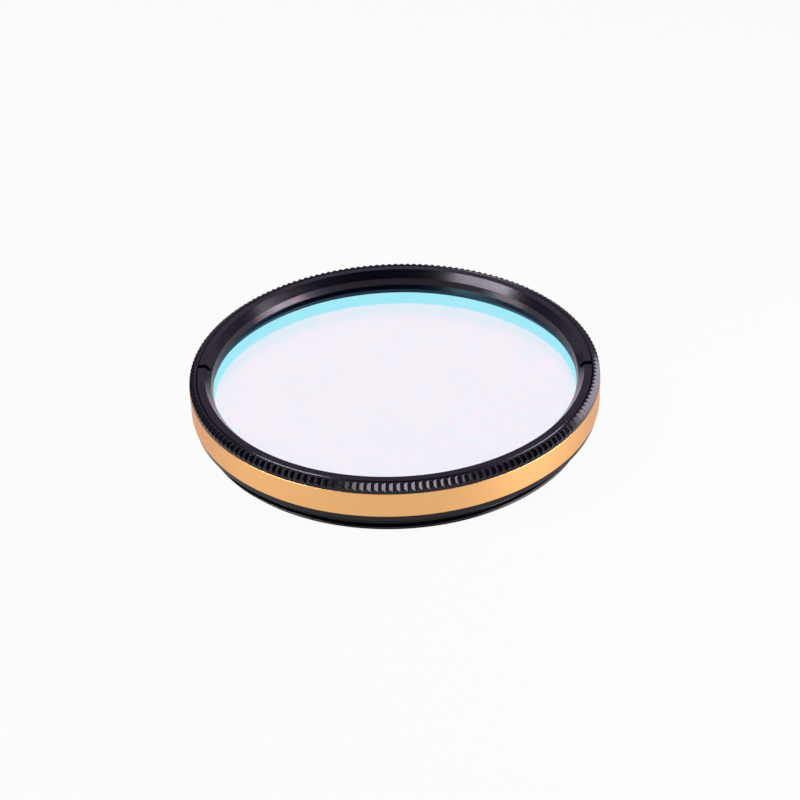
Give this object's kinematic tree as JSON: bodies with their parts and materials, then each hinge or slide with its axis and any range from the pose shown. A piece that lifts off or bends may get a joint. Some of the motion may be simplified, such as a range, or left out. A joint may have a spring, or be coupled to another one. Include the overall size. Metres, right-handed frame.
{
  "type": "optical bandpass filter",
  "caption": "Round screw-in bandpass filter: a coated glass disc held by a slotted retaining ring in a black and gold anodised cell with a notched rim and a threaded end.",
  "frame": {"origin": "centre of the threaded end, on the optical axis", "axes": "+Z along the optical axis towards the front of the filter, and the two spanner slots lie on the X axis"},
  "size_m": [0.0506, 0.0506, 0.0072],
  "materials": {
    "black_anodised": "black anodised, satin",
    "gold_anodised": "gold anodised over a fine-turned surface",
    "black_anodised_ring": "black anodised, satin",
    "coated_glass": "polished, with interference coatings on both faces"
  },
  "bodies": {
    "root": {"filter_cell": "black_anodised", "retaining_ring": "black_anodised_ring", "filter_glass": "coated_glass"}
  },
  "joints": []
}
